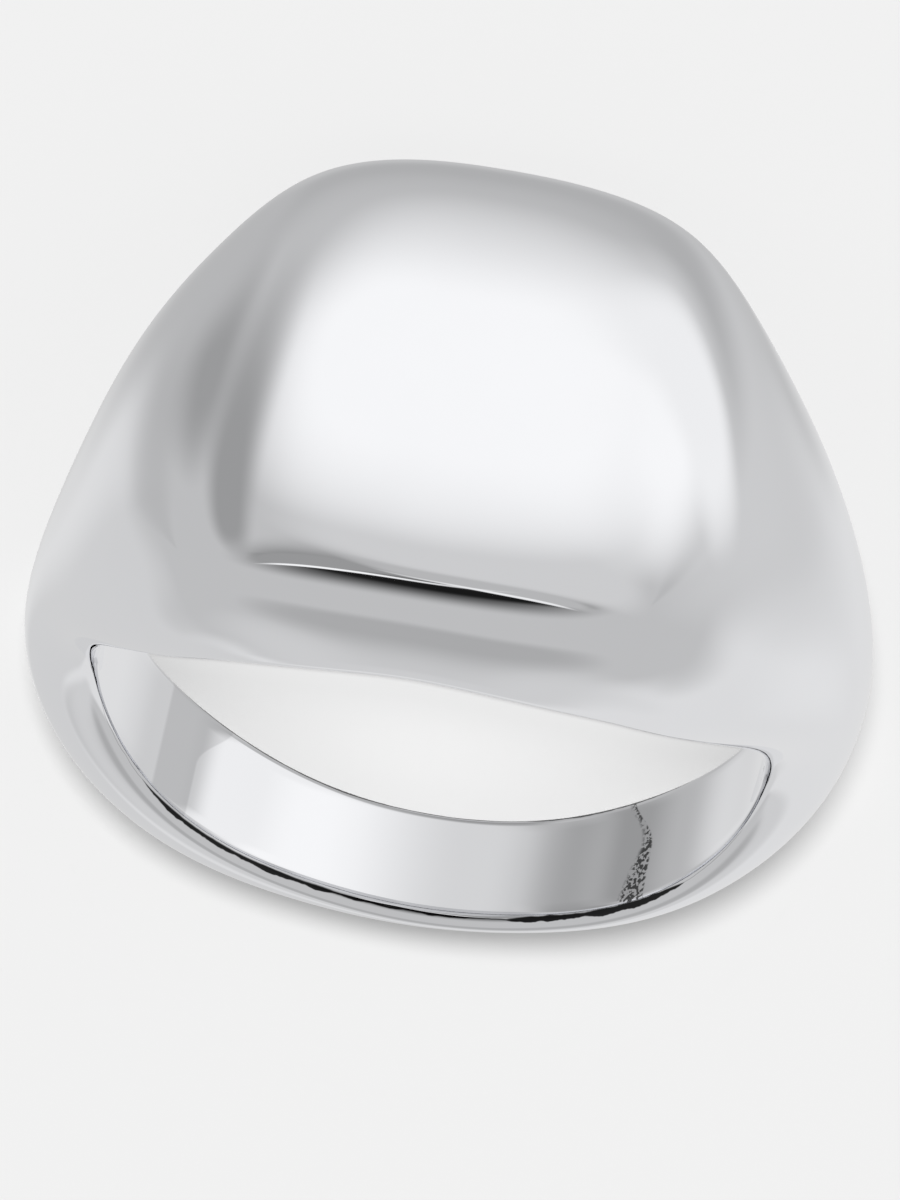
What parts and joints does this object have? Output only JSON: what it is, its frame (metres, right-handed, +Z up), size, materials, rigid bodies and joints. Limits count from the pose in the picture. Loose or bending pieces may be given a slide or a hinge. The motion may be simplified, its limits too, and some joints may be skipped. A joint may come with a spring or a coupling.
{
  "type": "finger ring",
  "caption": "One-piece polished silver finger ring with a domed, rounded-square head that runs down into a narrow half-round band, lying on its side.",
  "frame": {"origin": "middle of the bounding box, on the surface that the ring lies on", "axes": "+Z up; -Y is the side that the head faces; +X to the right of someone who looks at the head; the finger bore leans about 17 degrees from +Z towards +Y"},
  "size_m": [0.0218, 0.023, 0.0146],
  "materials": {
    "silver": "high polish"
  },
  "bodies": {
    "root": {"ring": "silver"}
  },
  "joints": []
}
